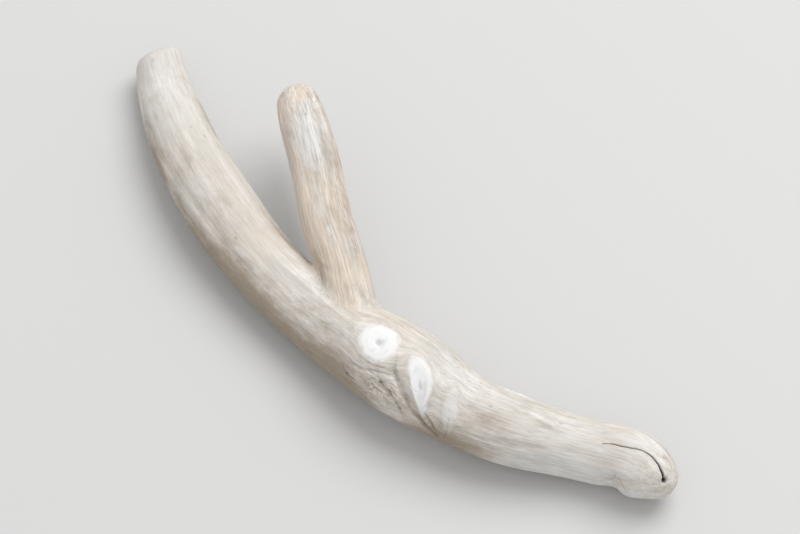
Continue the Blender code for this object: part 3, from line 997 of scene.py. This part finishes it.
def noise(tree, vector, detail=3.0, roughness=0.5, distortion=0.0):
    node = addNode(tree, "ShaderNodeTexNoise", noise_dimensions="3D")
    join(tree, vector, node.inputs["Vector"])
    node.inputs["Scale"].default_value = 1.0
    node.inputs["Detail"].default_value = detail
    node.inputs["Roughness"].default_value = roughness
    node.inputs["Distortion"].default_value = distortion
    return node.outputs["Fac"]


def newGroup(name, inputs, outputs):
    group = bpy.data.node_groups.new(name, "ShaderNodeTree")
    for label, kind in inputs:
        group.interface.new_socket(label, in_out="INPUT", socket_type=kind)
    for label, kind in outputs:
        group.interface.new_socket(label, in_out="OUTPUT", socket_type=kind)
    start = group.nodes.new("NodeGroupInput")
    end = group.nodes.new("NodeGroupOutput")
    return group, start, end


# Colours of the bleached wood, linear
woodColours = {
    "pale": (0.75, 0.72, 0.68),
    "mid": (0.62, 0.575, 0.52),
    "even": (0.64, 0.60, 0.545),
    # brown is brown wood, and also paints the shade of some browner places and of the wrinkles
    "brown": (0.35, 0.285, 0.22),
    "warm": (0.68, 0.585, 0.485),
    "grey": (0.60, 0.585, 0.555),
    "cool": (0.66, 0.645, 0.62),
    "blush": (0.77, 0.65, 0.55),
    # white is bleached wood, and also paints the light of some bleached places
    "white": (0.76, 0.75, 0.73),
    # dark paints the shade in the cracks, the end hole and the end splits, and partly the pits' own
    # brown
    "dark": (0.045, 0.035, 0.028),
    "knot": (0.83, 0.83, 0.825),
    "knotCool": (0.745, 0.755, 0.755),
    "knotGrey": (0.52, 0.52, 0.52),
}

# Noises in the straightened grain: scale along and across it, shift, detail, roughness, distortion
grainNoises = {
    "streaks": ((0.05, 0.62, 0.62), (0.0, 0.0, 0.0), 5.0, 0.62, 0.25),
    "fibres": ((0.16, 3.4, 3.4), (0.0, 0.0, 0.0), 4.0, 0.6, 0.1),
    "mottle": ((0.30, 0.55, 0.55), (0.0, 0.0, 0.0), 6.0, 0.66, 0.0),
    "warmPatches": ((0.035, 0.10, 0.10), (3.0, 7.0, 1.0), 3.0, 0.5, 0.0),
    "greyPatches": ((0.055, 0.16, 0.16), (9.0, 2.0, 5.0), 4.0, 0.55, 0.0),
    "hairlines": ((0.007, 0.62, 0.62), (5.0, 3.0, 8.0), 0.0, 0.5, 0.0),
    "hairlinePlaces": ((0.055, 0.32, 0.32), (4.3, 2.2, 7.7), 1.0, 0.5, 0.0),
    "raggedEdges": ((0.16, 0.42, 0.42), (0.0, 0.0, 0.0), 5.0, 0.62, 0.3),
    "swirls": ((0.42, 0.9, 0.9), (0.0, 0.0, 0.0), 5.0, 0.68, 1.2),
    "crumbs": ((0.5, 0.5, 0.5), (0.0, 0.0, 0.0), 4.0, 0.6, 0.0),
    "knotSpots": ((0.55, 0.8, 0.8), (2.0, 5.0, 1.0), 3.0, 0.5, 0.0),
}

# From where to where in its noise or mask each effect comes in
bands = {
    "streaks": (0.38, 0.66),
    "mottle": (0.54, 0.36),
    "warmPatches": (0.46, 0.66),
    "greyPatches": (0.50, 0.68),
    "hairlines": (0.011, 0.003),
    "hairlinePlaces": (0.57, 0.70),
    "shade": (0.30, 0.70),
    "specks": (0.17, 0.07),
    "tints": (0.12, 0.95),
    "swirls": (0.38, 0.60),
    "knotEdge": (1.27, 0.86),
    "knotInside": (0.90, 0.62),
    "notWhitest": (0.98, 0.93),
    "knotSpots": (0.50, 0.66),
    "knotSpotPlaces": (0.85, 0.55),
    "knotHeart": (0.28, 0.08),
    "pits": (0.15, 0.85),
    "cracks": (0.05, 0.60),
}

# Tints laid over the grain, the browner and bleached ones also painting shade and light: place, colour,
# most share, and how the ragged edge changes the place
tintsOverGrain = (
    ("greyer", "cool", 0.70, "ADD"),
    ("warmer", "blush", 0.75, "SUBTRACT"),
    ("bleached", "white", 0.80, "ADD"),
    ("browner", "brown", 0.92, "SUBTRACT"),
)

# How strongly each effect shows
woodFinish = {
    "stemWarmth": 0.35,
    "stemMottle": 0.29,
    "branchWarmth": 1.0,
    "branchMottle": 0.50,
    "branchContrast": 1.5,
    "wornStretch": (82.0, 54.0),  # along the stem, from where it is as grown to where it is worn
    "wornEvenly": 0.42,
    "wornContrast": 0.60,
    "greyPatches": 0.6,
    "fibreShade": (0.86, 1.07),
    "streakShade": (0.94, 1.03),
    "hairlineDark": 0.28,
    "hairlineDepth": 0.5,
    "tintRaggedness": 1.3,
    "roughPatch": 0.75,
    "knotRaggedness": 0.8,
    "knotInside": 0.7,
    "knotSpots": 0.45,
    "knotHeart": 0.85,
    "speckAmount": 0.10,
    "specks": 0.5,
    "endGrain": 0.35,
    "wrinkles": 0.75,
    "pits": 0.55,
    "cracks": 0.95,
    "roughness": (0.92, 0.78),
    "specular": 0.3,
    "bumpStrength": 0.5,
    "bumpDistance": 0.00025,
}


def grainNoise(tree, grain, kind):
    scale, shift, detail, roughness, distortion = grainNoises[kind]
    return noise(tree, stretch(tree, grain, scale, shift), detail, roughness, distortion)


def bleachedGrainGroup():
    # colour, shade and height of plain weathered grain, from the straightened coordinates
    group, start, end = newGroup(
        "bleached grain",
        [("Grain", "NodeSocketVector"), ("Warmth", "NodeSocketFloat"), ("Mottle", "NodeSocketFloat")],
        [("Colour", "NodeSocketColor"), ("Shade", "NodeSocketFloat"), ("Height", "NodeSocketFloat")],
    )
    grain = start.outputs["Grain"]
    streaks = grainNoise(group, grain, "streaks")
    fibres = grainNoise(group, grain, "fibres")
    mottle = grainNoise(group, grain, "mottle")
    warmPatches = grainNoise(group, grain, "warmPatches")
    greyPatches = grainNoise(group, grain, "greyPatches")
    paler = between(group, streaks, *bands["streaks"])
    colour = blend(group, paler, woodColours["mid"], woodColours["pale"])
    browner = times(group, between(group, mottle, *bands["mottle"]), start.outputs["Mottle"])
    colour = blend(group, browner, colour, woodColours["brown"])
    warmer = times(group, between(group, warmPatches, *bands["warmPatches"]), start.outputs["Warmth"])
    colour = blend(group, warmer, colour, woodColours["warm"])
    greyer = between(group, greyPatches, *bands["greyPatches"], 0.0, woodFinish["greyPatches"])
    colour = blend(group, greyer, colour, woodColours["grey"])
    # hairline checks that come and go along the grain
    off = arithmetic(group, "SUBTRACT", grainNoise(group, grain, "hairlines"), 0.5)
    narrow = between(group, arithmetic(group, "ABSOLUTE", off), *bands["hairlines"])
    here = between(group, grainNoise(group, grain, "hairlinePlaces"), *bands["hairlinePlaces"])
    line = times(group, narrow, here)
    # the finest fibres shade every tint alike
    fibreShade = between(group, fibres, *bands["shade"], *woodFinish["fibreShade"])
    streakShade = between(group, streaks, *bands["shade"], *woodFinish["streakShade"])
    unsplit = arithmetic(group, "SUBTRACT", 1.0, times(group, line, woodFinish["hairlineDark"]))
    shade = times(group, times(group, fibreShade, streakShade), unsplit)
    height = times(group, arithmetic(group, "ADD", fibres, streaks), 0.5)
    height = arithmetic(group, "SUBTRACT", height, times(group, line, woodFinish["hairlineDepth"]))
    join(group, colour, end.inputs["Colour"])
    join(group, shade, end.inputs["Shade"])
    join(group, height, end.inputs["Height"])
    return group


def speckGroup():
    # small dark specks, here and there
    group, start, end = newGroup(
        "dark specks",
        [("Grain", "NodeSocketVector"), ("Amount", "NodeSocketFloat")],
        [("Speck", "NodeSocketFloat")],
    )
    cells = addNode(group, "ShaderNodeTexVoronoi", voronoi_dimensions="3D", feature="F1")
    join(group, stretch(group, start.outputs["Grain"], (0.28, 0.55, 0.55)), cells.inputs["Vector"])
    cells.inputs["Scale"].default_value = 1.0
    split = addNode(group, "ShaderNodeSeparateColor")
    join(group, cells.outputs["Color"], split.inputs[0])
    chosen = arithmetic(group, "LESS_THAN", split.outputs[0], start.outputs["Amount"])
    spot = between(group, cells.outputs["Distance"], *bands["specks"])
    join(group, times(group, chosen, spot), end.inputs["Speck"])
    return group


def useGroup(tree, group, **links):
    node = addNode(tree, "ShaderNodeGroup", node_tree=group)
    for name, value in links.items():
        if isinstance(value, (int, float)):
            node.inputs[name].default_value = value
        else:
            join(tree, value, node.inputs[name])
    return node


def plainWood(tree, stemGrain):
    # colour, shade and height of the bare grain, mottled and shaded more on the branch
    finish = woodFinish
    grainGroup = bleachedGrainGroup()
    branchShare = attribute(tree, "branchShare")
    branchGrain = attribute(tree, "branchGrain", "Vector")
    onStem = useGroup(
        tree, grainGroup, Grain=stemGrain, Warmth=finish["stemWarmth"], Mottle=finish["stemMottle"]
    )
    onBranch = useGroup(
        tree, grainGroup, Grain=branchGrain, Warmth=finish["branchWarmth"], Mottle=finish["branchMottle"]
    )
    # the stem is worn more evenly from its first end to near the knots
    straight = addNode(tree, "ShaderNodeSeparateXYZ")
    join(tree, stemGrain, straight.inputs[0])
    along = straight.outputs["X"]
    worn = between(tree, along, *finish["wornStretch"], 0.0, finish["wornEvenly"])
    stemColour = blend(tree, worn, onStem.outputs["Colour"], woodColours["even"])
    contrast = between(tree, along, *finish["wornStretch"], 1.0, finish["wornContrast"])
    stemShade = arithmetic(tree, "POWER", onStem.outputs["Shade"], contrast)
    branchShade = arithmetic(tree, "POWER", onBranch.outputs["Shade"], finish["branchContrast"])
    colour = blend(tree, branchShare, stemColour, onBranch.outputs["Colour"])
    shade = mixNumbers(tree, branchShare, stemShade, branchShade)
    height = mixNumbers(tree, branchShare, onStem.outputs["Height"], onBranch.outputs["Height"])
    return colour, shade, height


def withTints(tree, colour, stemGrain):
    # greyer, warmer, more bleached and browner places, with ragged edges; some bleached and browner ones
    # paint light and shade
    ragged = arithmetic(tree, "SUBTRACT", grainNoise(tree, stemGrain, "raggedEdges"), 0.5)
    uneven = times(tree, ragged, woodFinish["tintRaggedness"])
    for name, tint, most, side in tintsOverGrain:
        place = arithmetic(tree, side, attribute(tree, name), uneven)
        share = between(tree, place, *bands["tints"], 0.0, most)
        colour = blend(tree, share, colour, woodColours[tint])
    return colour


def withRoughPatch(tree, colour, stemGrain):
    # the healed patch beside the knots is rough and brown
    swirls = grainNoise(tree, stemGrain, "swirls")
    paler = between(tree, swirls, *bands["swirls"])
    patch = blend(tree, paler, woodColours["brown"], woodColours["pale"])
    share = times(tree, attribute(tree, "roughPatch"), woodFinish["roughPatch"])
    return blend(tree, share, colour, patch)


def withKnots(tree, colour, stemGrain):
    # knots are pale discs with ragged edges and a grey heart
    knotNear = attribute(tree, "knotNear")
    knotWhite = attribute(tree, "knotWhite")
    crumbs = arithmetic(tree, "SUBTRACT", grainNoise(tree, stemGrain, "crumbs"), 0.5)
    edge = arithmetic(tree, "ADD", knotNear, times(tree, crumbs, woodFinish["knotRaggedness"]))
    disc = times(tree, between(tree, edge, *bands["knotEdge"]), knotWhite)
    colour = blend(tree, disc, colour, woodColours["knot"])
    # inside its white rim all but the whitest knot is cooler
    notWhitest = between(tree, knotWhite, *bands["notWhitest"])
    inside = times(tree, between(tree, knotNear, *bands["knotInside"]), notWhitest)
    inside = times(tree, inside, disc)
    colour = blend(tree, times(tree, inside, woodFinish["knotInside"]), colour, woodColours["knotCool"])
    spots = between(tree, grainNoise(tree, stemGrain, "knotSpots"), *bands["knotSpots"])
    spots = times(tree, spots, between(tree, knotNear, *bands["knotSpotPlaces"]))
    spots = times(tree, spots, woodFinish["knotSpots"])
    heart = arithmetic(tree, "MAXIMUM", between(tree, knotNear, *bands["knotHeart"]), spots)
    heart = times(tree, times(tree, heart, knotWhite), woodFinish["knotHeart"])
    return blend(tree, heart, colour, woodColours["knotGrey"])


def withMarks(tree, colour, stemGrain):
    # specks are brown, wrinkles brown with painted shade that grows with their depth, the ends plain,
    # and cracks, splits and pits dark with painted shade
    finish = woodFinish
    speck = useGroup(tree, speckGroup(), Grain=stemGrain, Amount=finish["speckAmount"])
    speckShare = times(tree, speck.outputs["Speck"], finish["specks"])
    colour = blend(tree, speckShare, colour, woodColours["brown"])
    endShare = times(tree, attribute(tree, "endGrain"), finish["endGrain"])
    colour = blend(tree, endShare, colour, woodColours["mid"])
    # wrinkles darkened toward brown: partly the folds' own colour, partly painted shade in them
    wrinkleBrownAndShade = times(tree, attribute(tree, "wrinkleBrownAndShade"), finish["wrinkles"])
    colour = blend(tree, wrinkleBrownAndShade, colour, woodColours["brown"], "MULTIPLY")
    # pits and end splits darkened: partly their own brown, partly painted shade in the hollows
    pitStainAndShade = arithmetic(tree, "MAXIMUM", attribute(tree, "pits"), attribute(tree, "endChecks"))
    pitStainAndShade = between(tree, pitStainAndShade, *bands["pits"], 0.0, finish["pits"])
    colour = blend(tree, pitStainAndShade, colour, woodColours["dark"])
    # painted shade: the cracks and the end hole are filled with near-black
    crackAndHoleShade = arithmetic(tree, "MAXIMUM", attribute(tree, "crack"), attribute(tree, "endHole"))
    crackAndHoleShade = between(tree, crackAndHoleShade, *bands["cracks"], 0.0, finish["cracks"])
    return blend(tree, crackAndHoleShade, colour, woodColours["dark"])


def driftwoodMaterial():
    material = bpy.data.materials.new("bleachedDriftwood")
    material.use_nodes = True
    tree = material.node_tree
    shader = tree.nodes["Principled BSDF"]
    stemGrain = attribute(tree, "stemGrain", "Vector")
    colour, shade, height = plainWood(tree, stemGrain)
    colour = withTints(tree, colour, stemGrain)
    colour = withRoughPatch(tree, colour, stemGrain)
    colour = shaded(tree, colour, shade)
    colour = withKnots(tree, colour, stemGrain)
    colour = withMarks(tree, colour, stemGrain)
    join(tree, colour, shader.inputs["Base Color"])
    roughness = between(tree, height, *bands["shade"], *woodFinish["roughness"])
    join(tree, roughness, shader.inputs["Roughness"])
    bump = addNode(tree, "ShaderNodeBump")
    bump.inputs["Strength"].default_value = woodFinish["bumpStrength"]
    bump.inputs["Distance"].default_value = woodFinish["bumpDistance"]
    join(tree, height, bump.inputs["Height"])
    join(tree, bump.outputs["Normal"], shader.inputs["Normal"])
    shader.inputs["Specular IOR Level"].default_value = woodFinish["specular"]
    return material


# The stage: a pale floor, soft light from the upper right and behind, and a long lens

stageValues = {
    "azimuth": 42.1,
    "elevation": 62.0,
    "lens": 180.0,
    "shareOfWidth": 545.0 / 800.0,
    "floorColour": (0.61, 0.61, 0.605),
    "floorReach": 6.0,
    "floorGap": 0.00002,
    "worldColour": (1.0, 1.0, 1.0),
    "worldStrength": 0.70,
    "keyPower": 8.8,
    "keySize": 0.9,
    "keyPlace": (0.38, 0.40, 1.00),
}


def cameraAxes():
    turn = math.radians(stageValues["azimuth"])
    rise = math.radians(stageValues["elevation"])
    right = Vector((math.cos(turn), math.sin(turn), 0.0))
    back = Vector((math.sin(turn) * math.cos(rise), -math.cos(turn) * math.cos(rise), math.sin(rise)))
    return right, back.cross(right), back


def makeCamera(wood):
    right, above, back = cameraAxes()
    points = meshPoints(wood.data)
    across = points @ np.array(right)
    upward = points @ np.array(above)
    width = across.max() - across.min()
    data = bpy.data.cameras.new("camera")
    data.lens = stageValues["lens"]
    data.clip_start = 0.01
    camera = bpy.data.objects.new("camera", data)
    bpy.context.scene.collection.objects.link(camera)
    seen = width / stageValues["shareOfWidth"]
    distance = seen * data.lens / data.sensor_width
    target = (
        right * float((across.max() + across.min()) / 2.0)
        + above * float((upward.max() + upward.min()) / 2.0)
        + back * float((points @ np.array(back)).mean())
    )
    camera.location = target + back * distance
    camera.rotation_euler = back.to_track_quat("Z", "Y").to_euler()
    bpy.context.scene.camera = camera


def makeFloor():
    mesh = bpy.data.meshes.new("floor")
    reach = stageValues["floorReach"]
    corners = [(-reach, -reach, 0.0), (reach, -reach, 0.0), (reach, reach, 0.0), (-reach, reach, 0.0)]
    mesh.from_pydata(corners, [], [(0, 1, 2, 3)])
    floor = bpy.data.objects.new("floor", mesh)
    bpy.context.scene.collection.objects.link(floor)
    floor.location.z = cadBox[0][2] - stageValues["floorGap"]
    material = bpy.data.materials.new("paleFloor")
    material.use_nodes = True
    shader = material.node_tree.nodes["Principled BSDF"]
    shader.inputs["Base Color"].default_value = (*stageValues["floorColour"], 1.0)
    shader.inputs["Roughness"].default_value = 0.9
    mesh.materials.append(material)


def makeLight():
    world = bpy.data.worlds.new("studio")
    world.use_nodes = True
    sky = world.node_tree.nodes["Background"]
    sky.inputs["Color"].default_value = (*stageValues["worldColour"], 1.0)
    sky.inputs["Strength"].default_value = stageValues["worldStrength"]
    bpy.context.scene.world = world
    right, above, back = cameraAxes()
    away = Vector((-back.x, -back.y, 0.0)).normalized()
    acrossShare, awayShare, upShare = stageValues["keyPlace"]
    place = right * acrossShare + away * awayShare + Vector((0.0, 0.0, upShare))
    data = bpy.data.lights.new("key", "AREA")
    data.shape = "DISK"
    data.size = stageValues["keySize"]
    data.energy = stageValues["keyPower"]
    key = bpy.data.objects.new("key", data)
    key.location = place
    key.rotation_euler = place.to_track_quat("Z", "Y").to_euler()
    bpy.context.scene.collection.objects.link(key)


def makeScene():
    print("growing the wood")
    wood = makeWood()
    wood.data.materials.append(driftwoodMaterial())
    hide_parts("driftwood")
    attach(wood, "root")
    print("stage, light and camera")
    makeFloor()
    makeLight()
    makeCamera(wood)
    bpy.context.scene.view_settings.view_transform = "Standard"


makeScene()
